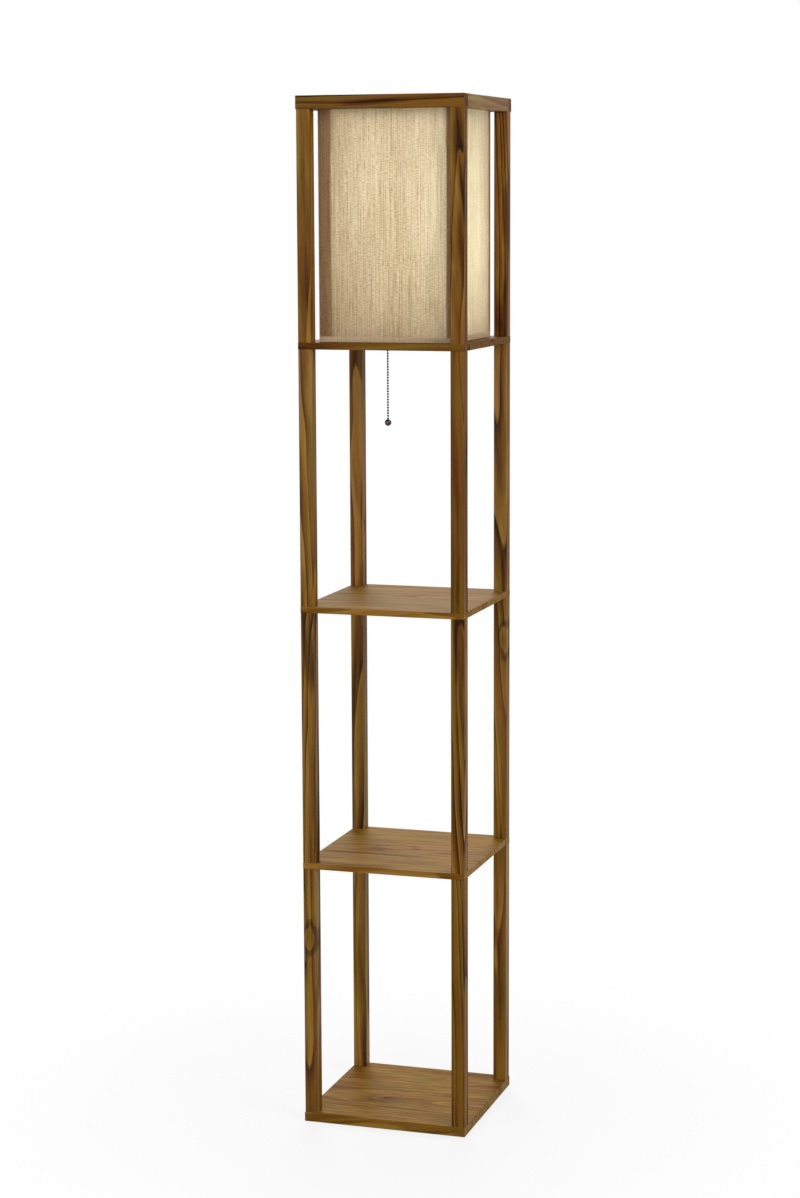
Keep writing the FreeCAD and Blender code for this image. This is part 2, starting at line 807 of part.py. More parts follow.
def make_contact_leaf():
    body = make_body("contact_leaf", y="leaf_wide / 2", z=floor_top)
    right = f"({chamber_right} - glue_gap)"
    near = f"({wheel_place} + wheel_tip + leaf_gap)"
    sketch = make_sketch(body, "XZ_Plane")
    add_outline(sketch, [
        (f"{right} - leaf_thick", "chamber_floor"),
        (right, "chamber_floor"),
        (right, "lever_lift - wheel_root"),
        (f"{near} + leaf_thick", "lever_lift"),
        (right, "lever_lift + wheel_root"),
        (right, "socket_high"),
        (f"{right} - leaf_thick", "socket_high"),
        (f"{right} - leaf_thick", "lever_lift + wheel_root"),
        (near, "lever_lift"),
        (f"{right} - leaf_thick", "lever_lift - wheel_root"),
    ])
    add_pad(body, sketch, "leaf_wide")


def coil(radius, wire, low, high, turns):
    """A helix of quarter-turn arcs, swept by a round wire."""
    def point(turn):
        angle = 2 * math.pi * turn
        return FreeCAD.Vector(radius * math.cos(angle), radius * math.sin(angle), low + (high - low) * turn / turns)
    quarter = 0.25
    arcs = [Part.Arc(point(n * quarter), point((n + 0.5) * quarter), point((n + 1) * quarter)).toShape()
            for n in range(int(turns / quarter))]
    path = Part.Wire(arcs)
    profile = Part.Wire([Part.Circle(point(0), arcs[0].tangentAt(arcs[0].FirstParameter), wire / 2).toShape()])
    return path.makePipeShell([profile], True, False)


def make_spring():
    """Return spring under the lever's arm, standing on the chamber's floor."""
    wire = number("spring_wire")
    mean = number("spring_wide - spring_wire") / 2
    arm = number("spring_place") * math.tan(math.radians(half_swing))
    share = number("spring_place / lever_long")
    arm_half = (number("lever_hub") * (1 - share) + number("lever_end") * share)
    top = number("lever_lift - chamber_floor") + arm - arm_half / math.cos(math.radians(half_swing))
    high = top - wire - number("spring_slack")
    seat = number("thread_gap")
    solid = coil(mean, wire, wire / 2 + seat, high, number("spring_turns"))
    coded("return_spring", solid, number(f"{pivot_place} - spring_place"), 0,
          number(f"{floor_top} + chamber_floor"))


# ---- pull chain ----

def make_clevis():
    """A fork round the lever's end. Its cross hole leaves the lever's pin a little room."""
    body = make_body("chain_clevis", "-chain_out", "0", f"{floor_top} + {tip_lift}")
    block = make_sketch(body, lift="-clevis_down")
    add_centred_box(block, "clevis_wide", "clevis_deep")
    add_pad(body, block, "clevis_down + clevis_up")
    slot = make_sketch(body, "YZ_Plane")
    add_box(slot, "-clevis_slot / 2", "-clevis_slot_down", "clevis_slot / 2", "clevis_up")
    add_pocket(body, slot, midplane=True)
    hole = make_sketch(body, "XZ_Plane")
    add_circle(hole, "lever_pin + 2 * clevis_gap")
    add_pocket(body, hole, midplane=True)


def bead_chain(top, bottom, first_bead, bare=0):
    """Beads joined by a thin link, as one turned solid between two heights, bare at its foot."""
    radius = number("bead_wide / 2")
    link = number("link_wide / 2")
    reach = math.sqrt(radius ** 2 - link ** 2)
    points = [(0, top), (link, top)]
    edges = straight(*points)
    last = (link, top)
    centre = first_bead
    while centre - radius > bottom + bare:
        edges += straight(last, (link, centre + reach))
        edges.append(Part.Arc(FreeCAD.Vector(link, 0, centre + reach), FreeCAD.Vector(radius, 0, centre),
                              FreeCAD.Vector(link, 0, centre - reach)).toShape())
        last = (link, centre - reach)
        centre -= number("bead_pitch")
    edges += straight(last, (link, bottom), (0, bottom), (0, top))
    return turned(edges)


def make_chain():
    """Upper run, the bead at which the chain bends, lower run and ball, all on one line."""
    line = -number("chain_out")
    swing = number(f"{floor_under} - swing_drop")
    bead = number("bead_wide / 2")
    pitch = number("bead_pitch")
    top = number(f"{floor_top} + {tip_lift} - clevis_down")
    ball_centre = number(f"{floor_under} - ball_drop")
    ball = number("ball_wide / 2")
    upper_end = swing + bead + number("bead_gap")
    coded("upper_chain", bead_chain(top - upper_end, 0, top - upper_end - bead), line, 0, upper_end)
    swivel = Part.makeSphere(bead)
    coded("swivel_bead", swivel, line, 0, swing)
    lower_top = swing - bead - number("bead_gap")
    sink = number("link_sink")
    lower_end = ball_centre + ball - sink + number("thread_gap")
    lower = lower_top - lower_end
    coded("lower_chain", bead_chain(lower, 0, lower - bead, sink), line, 0, lower_end)
    hole = Part.makeCylinder(number("link_wide / 2 + thread_gap"), sink, FreeCAD.Vector(0, 0, ball - sink))
    coded("chain_ball", Part.makeSphere(ball).cut(hole), line, 0, ball_centre)


def make_guide():
    """Bell-mouthed guide in the beak's floor, flanged inside the chamber."""
    body = make_body("chain_guide", "-chain_out", "0", f"{floor_top} + chamber_floor")
    tube_low = "(beak_floor - chamber_floor)"
    bore = "guide_bore / 2"
    outer = "(guide_wide / 2 - thread_gap)"
    add_turning(body, [
        (bore, "guide_flange_high"),
        ("guide_flange / 2", "guide_flange_high"),
        ("guide_flange / 2", "0"),
        (outer, "0"),
        (outer, tube_low),
        ("guide_bell / 2", f"{tube_low} - guide_bell_high"),
        ("guide_bell / 2 - leaf_thick", f"{tube_low} - guide_bell_high"),
        (bore, f"{tube_low} + leaf_thick"),
    ])


def make_eyelet():
    """Eyelet in the head floor, flanged on the upper side."""
    body = make_body("floor_eyelet", "-chain_out", "0", floor_top)
    add_turning(body, [
        ("eyelet_bore / 2", "eyelet_flange_high"),
        ("eyelet_flange / 2 - eyelet_flange_high", "eyelet_flange_high"),
        ("eyelet_flange / 2", "0"),
        ("eyelet_wide / 2", "0"),
        ("eyelet_wide / 2", "-floor_thick"),
        ("eyelet_bore / 2", "-floor_thick"),
    ])


# ---- bulb ----

def make_bulb_cap():
    """Lamp cap with the holder's thread, a gap smaller, and its tip contact."""
    gap = number("lamp_gap")
    radius = number("shell_radius") - gap
    start = number(f"{lid_top} + shell_wall - {floor_top} - bulb_lift")
    wave = thread_wave(radius, start)
    high = start + number("shell_pitch * shell_turns")
    lowest = start + number("shell_bare_turns * shell_pitch")
    wave = [edge for edge in wave if edge.BoundBox.ZMin > lowest - 1e-6]
    neck = number("bulb_neck")
    tip = number("contact_wide / 2")
    profile = straight((0, high), (0, 0), (tip, 0), (tip, number("glass_wall")), (radius, lowest)) + wave
    profile += straight((radius, high), (neck, high), (0, high))
    coded("bulb_cap", turned(Part.__sortEdges__(profile)), z=number(f"{floor_top} + bulb_lift"))
    return high


def globe_profile(neck, ball, low, high, inset):
    """Half of a pear shape: the neck swells by two arcs into the round crown."""
    radius = ball - inset
    centre = high - ball
    join = math.radians(number("crown_angle"))
    side = FreeCAD.Vector(radius * math.cos(join), 0, centre - radius * math.sin(join))
    foot = FreeCAD.Vector(neck - inset, 0, low)
    sag = number("waist_sag")
    middle = FreeCAD.Vector((side.x + foot.x) / 2 + sag, 0, (side.z + foot.z) / 2 - sag)
    waist = Part.Arc(foot, middle, side).toShape()
    widest = FreeCAD.Vector(radius, 0, centre)
    crown = Part.Arc(side, widest, FreeCAD.Vector(0, 0, centre + radius)).toShape()
    return [waist, crown]


def make_globe(low):
    neck = number("bulb_neck")
    ball = number("bulb_wide / 2")
    high = number("bulb_long")
    wall = number("glass_wall")
    outside = globe_profile(neck, ball, low, high, 0)
    inside = globe_profile(neck, ball, low, high, wall)
    closing = straight((0, high), (0, high - wall)) + straight((neck - wall, low), (neck, low))
    profile = Part.__sortEdges__(outside + inside + closing)
    coded("bulb_globe", turned(profile), z=number(f"{floor_top} + bulb_lift"))


# ---- the whole lamp ----

make_base()
make_base_pads()
make_base_screws()
for tier, lift in (("lower_post", base_top), ("middle_post", lower_shelf_top), ("upper_post", upper_shelf_top)):
    for corner in CORNERS:
        make_post(tier, corner, lift, "bay_high")
for corner in CORNERS:
    make_post("head_post", corner, floor_top, "head_high")
for label, lift in (("lower_shelf", lower_shelf_under), ("upper_shelf", upper_shelf_under)):
    shelf = make_panel(label, "plan_side", "shelf_thick", lift)
    drill_corners(shelf, "(stud_wide + 2 * stud_gap)")
make_head_floor()
make_long_rail("top_rail_front", -1)
make_long_rail("top_rail_back", 1)
make_short_rail("top_rail_left", -1)
make_short_rail("top_rail_right", 1)
make_studs("shelf_studs", [(lower_shelf_under, "shelf_thick"), (upper_shelf_under, "shelf_thick")])
make_studs("head_floor_studs", [(floor_under, "floor_thick")])
make_studs("top_frame_studs", [(head_top, "0 - glue_gap")])
make_inserts()
make_dowels()
make_fabric()
make_battens()
make_shade_rails()
make_shade_screws()
make_nipple()
make_washers()
make_nut()
make_bushing()
make_socket_base()
make_socket_lid()
make_lid_screws()
make_terminal_screws()
make_skirt()
make_screw_shell()
make_centre_contact()
make_lever()
make_switch_pins()
make_wheel()
make_contact_leaf()
make_spring()
make_clevis()
make_chain()
make_guide()
make_eyelet()
cap_top = make_bulb_cap()
make_globe(cap_top)
doc.recompute()

# ---- checks, then one file per sub-part ----

for item in doc.Objects:
    if "Invalid" in item.State or "Error" in item.State:
        raise RuntimeError(f"{item.Name} is {item.State}")

parts = [item for item in doc.Objects if item.TypeId == "PartDesign::Body" or item.TypeId == "Part::Feature"]
os.makedirs("parts", exist_ok=True)
for part in parts:
    if part.Shape.isNull() or not part.Shape.isValid() or not part.Shape.Solids:
        raise RuntimeError(f"{part.Label} has no valid solid")
for part in parts:
    part.Shape.exportStep(os.path.join("parts", part.Label + ".step"))
print(len(parts), "sub-parts")
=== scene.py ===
import math
import random

import bmesh
import bpy
from mathutils import Matrix, Vector


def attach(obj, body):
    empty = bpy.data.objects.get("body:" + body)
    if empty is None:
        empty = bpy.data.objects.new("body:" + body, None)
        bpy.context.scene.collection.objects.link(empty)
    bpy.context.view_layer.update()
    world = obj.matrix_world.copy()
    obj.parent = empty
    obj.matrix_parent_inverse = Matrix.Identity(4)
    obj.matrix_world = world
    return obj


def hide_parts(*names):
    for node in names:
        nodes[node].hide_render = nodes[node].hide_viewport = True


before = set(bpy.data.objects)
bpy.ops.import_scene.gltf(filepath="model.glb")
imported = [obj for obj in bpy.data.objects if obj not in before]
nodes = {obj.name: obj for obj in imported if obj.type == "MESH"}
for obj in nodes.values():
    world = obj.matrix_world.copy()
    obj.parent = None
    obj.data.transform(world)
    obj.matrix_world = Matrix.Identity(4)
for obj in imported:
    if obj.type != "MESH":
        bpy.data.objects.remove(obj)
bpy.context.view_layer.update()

mm = 0.001
random.seed(21)
print("frame loaded:", len(nodes), "nodes")


def srgb(code):
    # sRGB hex to the linear values that Blender's sockets take
    parts = [int(code[i:i + 2], 16) / 255 for i in (1, 3, 5)]
    return [p / 12.92 if p <= 0.04045 else ((p + 0.055) / 1.055) ** 2.4 for p in parts] + [1]


def addNode(tree, kind, settings=None, links=None):
    # one node: what it is set to, and what is linked into it
    node = tree.nodes.new(kind)
    for name, value in (settings or {}).items():
        if name == "stops":
            fillRamp(node.color_ramp, value)
        elif isinstance(name, int) or name in node.inputs:
            node.inputs[name].default_value = value
        else:
            setattr(node, name, value)
    for name, source in (links or {}).items():
        socket = source if isinstance(source, bpy.types.NodeSocket) else source.outputs[0]
        tree.links.new(socket, node.inputs[name])
    return node


def fillRamp(ramp, stops):
    # a stop's colour is a hex value, or a number for a grey
    while len(ramp.elements) < len(stops):
        ramp.elements.new(0.5)
    for element, (place, colour) in zip(ramp.elements, stops):
        element.position = place
        element.color = srgb(colour) if isinstance(colour, str) else (colour, colour, colour, 1)


def newMaterial(name):
    material = bpy.data.materials.new(name)
    material.use_nodes = True
    tree = material.node_tree
    tree.nodes.clear()
    out = tree.nodes.new("ShaderNodeOutputMaterial")
    return material, tree, out


def dress(name, material):
    # a CAD node keeps its shape and gets one material
    piece = nodes[name]
    piece.data.materials.clear()
    piece.data.materials.append(material)


def selectOnly(piece):
    bpy.ops.object.select_all(action="DESELECT")
    piece.select_set(True)
    bpy.context.view_layer.objects.active = piece


def smoothByAngle(piece, degrees):
    selectOnly(piece)
    bpy.ops.object.shade_smooth_by_angle(angle=math.radians(degrees))


def applyPlace(piece):
    selectOnly(piece)
    bpy.ops.object.transform_apply(location=True, rotation=True, scale=True)


def applyModifiers(piece):
    selectOnly(piece)
    for modifier in list(piece.modifiers):
        bpy.ops.object.modifier_apply(modifier=modifier.name)


view = {
    "place": (1.2459, -3.9565, 1.4337),   # where the photograph was taken from
    "turn": 0.3078,                       # radians to the left of straight ahead
    "tilt": -0.1476,                      # looking down
    "roll": -0.0043,
    "focal": 2692.35,                     # in pixels of the 800 x 1198 frame
    "longSide": 1198,
    "sensor": 36,                         # mm
    "clip": (0.1, 60),                    # metres
}


def makeCamera():
    data = bpy.data.cameras.new("camera")
    data.sensor_width = view["sensor"]
    data.lens = view["focal"] / view["longSide"] * data.sensor_width
    data.clip_start, data.clip_end = view["clip"]
    camera = bpy.data.objects.new("camera", data)
    bpy.context.scene.collection.objects.link(camera)
    turn = Matrix.Rotation(view["turn"], 4, "Z")
    tilt = Matrix.Rotation(math.pi / 2 + view["tilt"], 4, "X")
    roll = Matrix.Rotation(view["roll"], 4, "Z")
    camera.matrix_world = Matrix.Translation(view["place"]) @ turn @ tilt @ roll
    bpy.context.scene.camera = camera


makeCamera()
print("camera placed")


# Solid ash and ash veneer under a walnut oil stain and a satin lacquer: the open early wood takes
# the stain dark, the late wood stays olive brown, and the pores show as short dark dashes.
woodLook = {
    "pale": "#8F6B2A",
    "middle": "#735016",
    "stained": "#57350D",
    "darkest": "#2A1804",
    "lacquer": 0.1,              # specular level: a thin oily finish shines less than bare plastic does
    "roughness": (0.36, 0.54),   # of plain and of darkly stained wood
    "poreDeep": 0.25,            # mm
    "seedStep": 0.731,           # metres along the log from one seed to the next
    # sizes across the log and along it, in mm
    "bend": (75, 340),           # slow waves that bend the rings
    "patch": (24, 230),          # where the rings show more
    "heartwood": (22, 300),
    "fibre": (7.0, 260.0),       # bundles of fibres that took the stain alike
    "pore": (0.55, 14.0),        # drawn about twice as wide as real so that it shows
    "hue": (34, 150),
    "knotEdge": (11, 26),
    # good years and poor years: how often they change, and by how many rings
    "growth": (0.35, 3.0),
    # how strongly each shows, from its place in a year or in its noise
    "ringStops": [(0.0, 0.0), (0.05, 1.0), (0.2, 0.62), (0.5, 0.2), (1.0, 0.0)],
    "patchStops": [(0.38, 0.4), (0.62, 1.0)],
    "heartwoodStops": [(0.56, 0.0), (0.68, 1.0)],
    "poreStops": [(0.56, 0.0), (0.70, 1.0)],
    "poreInRing": (0.7, 0.3),    # the share of the pores in the early wood only, and everywhere
    "knotStops": [(0.3, 0.22), (0.6, 0.06), (0.71, 0.4), (0.77, 0.4), (0.95, 0.0)],
    "knotEnd": (1.2, 1.6),       # where the rings begin again, in shares of the knot's half size
    # how much stain each one takes
    "plainStain": -0.15,
    "ringStain": 0.8,
    "heartwoodStain": 0.42,
    "fibreStain": 0.7,
    "poreStain": 0.2,
    "toneAt": (0.08, 0.34, 0.66, 1.0),   # the stain at which each of the four tones is reached
    "hues": (0.488, 0.51),       # 0.5 is no change
    "redHue": 0.02,
}

# the turn that lays a piece's long axis along the log
grainTurns = {
    "x": Matrix.Rotation(-math.pi / 2, 3, "Y"),
    "y": Matrix.Rotation(math.pi / 2, 3, "X"),
    "z": Matrix.Identity(3),
}


def makeWood(name, grain, seed, heart, lean=(1.0, 1.0), streaks=1.0, tone=0.0, wave=22, ringWide=10,
             red=0, lacquer=woodLook["lacquer"], knot=None):
    # heart: where the log's middle runs, in mm from the lamp's axis. lean: the log's tilt in degrees,
    # which cuts its rings into arches. streaks, tone, red: how strong the dark streaks are, and how
    # much darker or redder the whole board is. wave: how far the rings wander, in mm. knot: middle and
    # half sizes, in mm, of a closed eye in the figure.
    material, tree, out = newMaterial(name)
    turn = Matrix.Rotation(math.radians(lean[0]), 3, "X") @ Matrix.Rotation(math.radians(lean[1]), 3, "Y")
    turn = turn @ grainTurns[grain]
    start = Vector((0, 0, seed * woodLook["seedStep"])) - turn @ (Vector(heart) * mm)
    point = addNode(tree, "ShaderNodeTexCoord").outputs["Object"]
    log = addNode(tree, "ShaderNodeMapping", {"Location": start, "Rotation": turn.to_euler()},
                  {"Vector": point})

    def stretched(part, detail=2.0, source=None):
        # noise drawn out along the log
        across, along = woodLook[part]
        size = (1 / (across * mm), 1 / (across * mm), 1 / (along * mm))
        place = addNode(tree, "ShaderNodeMapping", {"Scale": size}, {"Vector": source or log})
        return addNode(tree, "ShaderNodeTexNoise", {"Scale": 1.0, "Detail": detail, "Roughness": 0.55},
                       {"Vector": place})

    shift = addNode(tree, "ShaderNodeVectorMath", {"operation": "SUBTRACT", 1: (0.5, 0.5, 0.5)},
                    {0: stretched("bend").outputs["Color"]})
    pushed = addNode(tree, "ShaderNodeVectorMath",
                     {"operation": "MULTIPLY_ADD", 1: (wave * mm, wave * mm, 0)}, {0: shift, 2: log})
    flat = addNode(tree, "ShaderNodeVectorMath", {"operation": "MULTIPLY", 1: (1, 1, 0)}, {0: pushed})
    radius = addNode(tree, "ShaderNodeVectorMath", {"operation": "LENGTH"}, {0: flat})
    years = addNode(tree, "ShaderNodeMath", {"operation": "MULTIPLY", 1: 1 / (ringWide * mm)},
                    {0: radius.outputs["Value"]})
    often, change = woodLook["growth"]
    growth = addNode(tree, "ShaderNodeTexNoise", {"noise_dimensions": "1D", "Scale": often, "Detail": 1.0},
                     {"W": years})
    uneven = addNode(tree, "ShaderNodeMath", {"operation": "MULTIPLY_ADD", 1: change}, {0: growth, 2: years})
    phase = addNode(tree, "ShaderNodeMath", {"operation": "FRACT"}, {0: uneven})
    ring = addNode(tree, "ShaderNodeValToRGB", {"stops": woodLook["ringStops"]}, {"Fac": phase})

    shown = addNode(tree, "ShaderNodeValToRGB", {"stops": woodLook["patchStops"]},
                    {"Fac": stretched("patch")})
    ringShare = addNode(tree, "ShaderNodeMath", {"operation": "MULTIPLY"}, {0: ring, 1: shown})
    heartwood = addNode(tree, "ShaderNodeValToRGB", {"stops": woodLook["heartwoodStops"]},
                        {"Fac": stretched("heartwood", source=pushed)})
    fibre = stretched("fibre", 3.0, pushed)
    pore = addNode(tree, "ShaderNodeValToRGB", {"stops": woodLook["poreStops"]},
                   {"Fac": stretched("pore", source=pushed)})
    early, everywhere = woodLook["poreInRing"]
    poreShare = addNode(tree, "ShaderNodeMath", {"operation": "MULTIPLY_ADD", 1: early, 2: everywhere},
                        {0: ring})
    pores = addNode(tree, "ShaderNodeMath", {"operation": "MULTIPLY"}, {0: pore, 1: poreShare})

    if knot:
        # the rings end round a small eye with a dark, uneven rim
        middle, reach = [[part * mm for part in size] for size in knot]
        away = addNode(tree, "ShaderNodeVectorMath", {"operation": "SUBTRACT", 1: middle}, {0: point})
        away = addNode(tree, "ShaderNodeVectorMath", {"operation": "DIVIDE", 1: reach}, {0: away})
        away = addNode(tree, "ShaderNodeVectorMath", {"operation": "LENGTH"}, {0: away})
        away = addNode(tree, "ShaderNodeMath", {"operation": "ADD"},
                       {0: away.outputs["Value"], 1: stretched("knotEdge")})
        near, far = woodLook["knotEnd"]
        outside = addNode(tree, "ShaderNodeMapRange", {"From Min": near, "From Max": far}, {"Value": away})
        ringShare = addNode(tree, "ShaderNodeMath", {"operation": "MULTIPLY"}, {0: ringShare, 1: outside})
        half = addNode(tree, "ShaderNodeMath", {"operation": "MULTIPLY", 1: 0.5}, {0: away})
        rim = addNode(tree, "ShaderNodeValToRGB", {"stops": woodLook["knotStops"]}, {"Fac": half})
        ringShare = addNode(tree, "ShaderNodeMath", {"operation": "ADD"}, {0: ringShare, 1: rim})

    # how much stain each place took
    plain = tone + woodLook["plainStain"]
    stain = addNode(tree, "ShaderNodeMath",
                    {"operation": "MULTIPLY_ADD", 1: woodLook["ringStain"] * streaks, 2: plain},
                    {0: ringShare})
    for source, taken in ((heartwood, woodLook["heartwoodStain"] * streaks),
                          (fibre, woodLook["fibreStain"]), (pores, woodLook["poreStain"])):
        stain = addNode(tree, "ShaderNodeMath", {"operation": "MULTIPLY_ADD", 1: taken},
                        {0: source, 2: stain})
    tones = [woodLook[each] for each in ("pale", "middle", "stained", "darkest")]
    colour = addNode(tree, "ShaderNodeValToRGB", {"stops": list(zip(woodLook["toneAt"], tones))},
                     {"Fac": stain})
    # the stain dries a little redder or greener from place to place
    low, high = [each - woodLook["redHue"] * red for each in woodLook["hues"]]
    hueShift = addNode(tree, "ShaderNodeMapRange",
                       {"From Min": 0.3, "From Max": 0.7, "To Min": low, "To Max": high},
                       {"Value": stretched("hue")})
    hue = addNode(tree, "ShaderNodeHueSaturation", links={"Hue": hueShift, "Color": colour})

    smooth, rough = woodLook["roughness"]
    gloss = addNode(tree, "ShaderNodeMapRange",
                    {"From Min": 0.1, "From Max": 0.9, "To Min": smooth, "To Max": rough}, {"Value": stain})
    bump = addNode(tree, "ShaderNodeBump",
                   {"Strength": 0.35, "Distance": woodLook["poreDeep"] * mm, "invert": True},
                   {"Height": pores})
    shader = addNode(tree, "ShaderNodeBsdfPrincipled", {"IOR": 1.5, "Specular IOR Level": lacquer},
                     {"Base Color": hue, "Roughness": gloss, "Normal": bump})
    tree.links.new(shader.outputs[0], out.inputs["Surface"])
    return material


# the flat boards: a shelf's veneer shows wide arches, a rail's edge straight lines
boards = {
    "base_panel": dict(grain="x", seed=1.7, heart=(0, -30, -12), lean=(2.0, 9.0), streaks=0.55,
                       tone=-0.05, wave=18, ringWide=9, lacquer=0.035),
    "lower_shelf": dict(grain="x", seed=3.9, heart=(-30, -15, 396), lean=(1.5, 5.0), streaks=0.7,
                        tone=-0.12, wave=18, ringWide=9, lacquer=0.03, knot=((-20, 5, 418), (34, 14, 40))),
    "upper_shelf": dict(grain="x", seed=4.2, heart=(0, 20, 775), lean=(1.6, 5.0), streaks=0.45,
                        tone=-0.05, wave=22, ringWide=8, lacquer=0.02),
    "head_floor": dict(grain="x", seed=5.1, heart=(0, 20, 1190), lean=(1.2, 1.8), streaks=0.8,
                       tone=0.16, wave=24, lacquer=0.03),
    "top_rail_front": dict(grain="x", seed=6.6, heart=(0, -108, 1562), lean=(0.9, 2.2), streaks=1.2,
                           tone=0.17, wave=12, ringWide=5, lacquer=0.04),
    "top_rail_back": dict(grain="x", seed=7.3, heart=(0, 88, 1560), lean=(0.6, 1.4), tone=0.06,
                          wave=16, ringWide=7),
    "top_rail_left": dict(grain="y", seed=8.2, heart=(-92, 0, 1560), tone=0.02, wave=16, ringWide=7),
    "top_rail_right": dict(grain="y", seed=9.9, heart=(88, 0, 1560), streaks=0.6, tone=-0.02, wave=16,
                           ringWide=7, lacquer=0.22),
}

# what all posts have in common, with the range that each is drawn from
postRun = {
    "spread": 119.5,         # mm, from the lamp's axis to a post's
    "heartAway": (12, 34),   # mm, from the post's axis to the middle of its log
    "lean": (-1.6, 1.6),
    "streaks": (0.8, 1.15),
    "tone": (-0.05, 0.02),
    "firstSeed": 11,
    # the middle of each tier, in mm: a leaning log is measured from there
    "tiers": {"lower_post": 210, "middle_post": 615, "upper_post": 1015, "head_post": 1390},
    "corners": {"front_left": (-1, -1), "front_right": (1, -1), "back_left": (-1, 1), "back_right": (1, 1)},
}

# posts that differ from the common run
postLooks = {
    "head_post_front_right": dict(lean=(4.5, 3.0), streaks=1.3, tone=0.04, lacquer=0.05),
    "head_post_back_right": dict(lean=(3.4, 3.0), streaks=1.2, tone=-0.07, red=0.5, ringWide=5),
    "head_post_front_left": dict(lean=(2.4, 1.8), streaks=0.95, tone=-0.03, lacquer=0.07),
    "upper_post_back_left": dict(lean=(1.8, 2.0), streaks=1.1, tone=-0.14, red=0.3),
    "upper_post_front_left": dict(lean=(1.4, 1.6), streaks=0.9, tone=-0.07),
    "upper_post_front_right": dict(lean=(0.9, 1.1), streaks=0.8, tone=0.15, lacquer=0.05),
    "upper_post_back_right": dict(lean=(2.8, 2.4), streaks=1.0, tone=-0.04, red=0.2),
    "middle_post_front_right": dict(lean=(2.2, 2.8), streaks=1.1, tone=-0.02, lacquer=0.06),
    "middle_post_front_left": dict(lean=(2.6, 2.0), streaks=1.2, tone=-0.02),
    "middle_post_back_right": dict(lean=(2.6, 2.2), streaks=1.1, tone=-0.02,
                                   knot=((126, 108, 741), (8, 60, 27))),
    "lower_post_front_left": dict(lean=(2.2, 1.6), streaks=1.1, tone=0.0,
                                  knot=((-120, -131, 296), (11, 60, 22))),
    "lower_post_front_right": dict(lean=(2.4, 1.8), streaks=1.1, tone=0.13, lacquer=0.05),
    "lower_post_back_left": dict(lean=(1.4, 1.2), streaks=0.9, tone=-0.15),
    "lower_post_back_right": dict(lean=(1.6, 1.2), streaks=0.9, tone=-0.10),
}


def dressWood():
    for name, look in boards.items():
        dress(name, makeWood("stained_ash_" + name, **look))
    spread = postRun["spread"]
    seed = postRun["firstSeed"]
    for tier, middle in postRun["tiers"].items():
        for corner, (side, face) in postRun["corners"].items():
            away = random.uniform(*postRun["heartAway"])
            angle = random.uniform(0, 2 * math.pi)
            heart = (side * spread + away * math.cos(angle), face * spread + away * math.sin(angle),
                     middle)
            name = f"{tier}_{corner}"
            look = dict(lean=(random.uniform(*postRun["lean"]), random.uniform(*postRun["lean"])),
                        streaks=random.uniform(*postRun["streaks"]), tone=random.uniform(*postRun["tone"]))
            look.update(postLooks.get(name, {}))
            dress(name, makeWood("stained_ash_" + name, "z", seed, heart, **look))
            seed += 1


dressWood()
print("wood stained")


shade = {
    "outer": 104.5,          # half the side, outside of the cloth
    "foot": 1220.5,
    "head": 1576.5,
    "hem": 7.5,              # the band along the foot where the cloth's own colour is paler
    "corner": 1.6,
    "thick": 0.7,
    "bow": 0.55,             # the cloth is drawn in about this far between the battens
    "bowPowers": (0.5, 0.6),      # how soon that begins, from foot and head and from the corners
    "ripple": 0.25,               # the share by which it is uneven
    "rippleTurns": (95, 13, 31),  # radians a metre: along the side, up it, and up it again
    "lipHigh": 0.45,         # the upper edge rises and leans in by this much
    "lipIn": 0.5,
    "foldIn": 11,            # and is then folded in over the rail
    "overlap": 12,           # mm of cloth at the seam and in the upper fold
    "columns": 44,
    "rows": 72,
    "longEdge": 0.1,         # metres: an edge over this is still a whole side's
}

# Undyed paper-yarn and linen cloth, plain woven and laminated to a white film inside: fine upright
# threads with slubs, level threads that show less, no shine, brown by its own light and pale with the
# bulb behind it. A set of threads has its width and height in mm, where its noise begins and ends, the
# noise's detail, and its share in how thin the cloth looks.
linenLook = {
    "threadDark": "#8C6B4A",
    "threadPale": "#A98563",
    "glowDark": "#D0CAB2",
    "glowPale": "#FEFBEC",
    "lining": "#EFECE4",
    "hem": "#DBC09E",
    "upright": (1.35, 150.0, 0.44, 0.54, 1.0, 0.38),   # drawn twice as wide as real so that it shows
    "level": (7.0, 1.4, 0.44, 0.56, 1.0, 0.32),        # these are drawn wider too
    "slub": (1.35, 34, 0.58, 0.72, 1.0, -0.42),
    "levelSlub": (4.2, 1.4, 0.62, 0.72, 2.0, -0.5),
    "cloud": (60, 110, 0.3, 0.7, 1.0, 0.10),
    "thinnest": 0.26,        # what is added to all of them
    "levelRelief": 0.6,      # how high the level threads stand beside the upright ones
    "relief": 0.3,           # mm
    "through": 0.5,          # share of the light that passes through the cloth
}


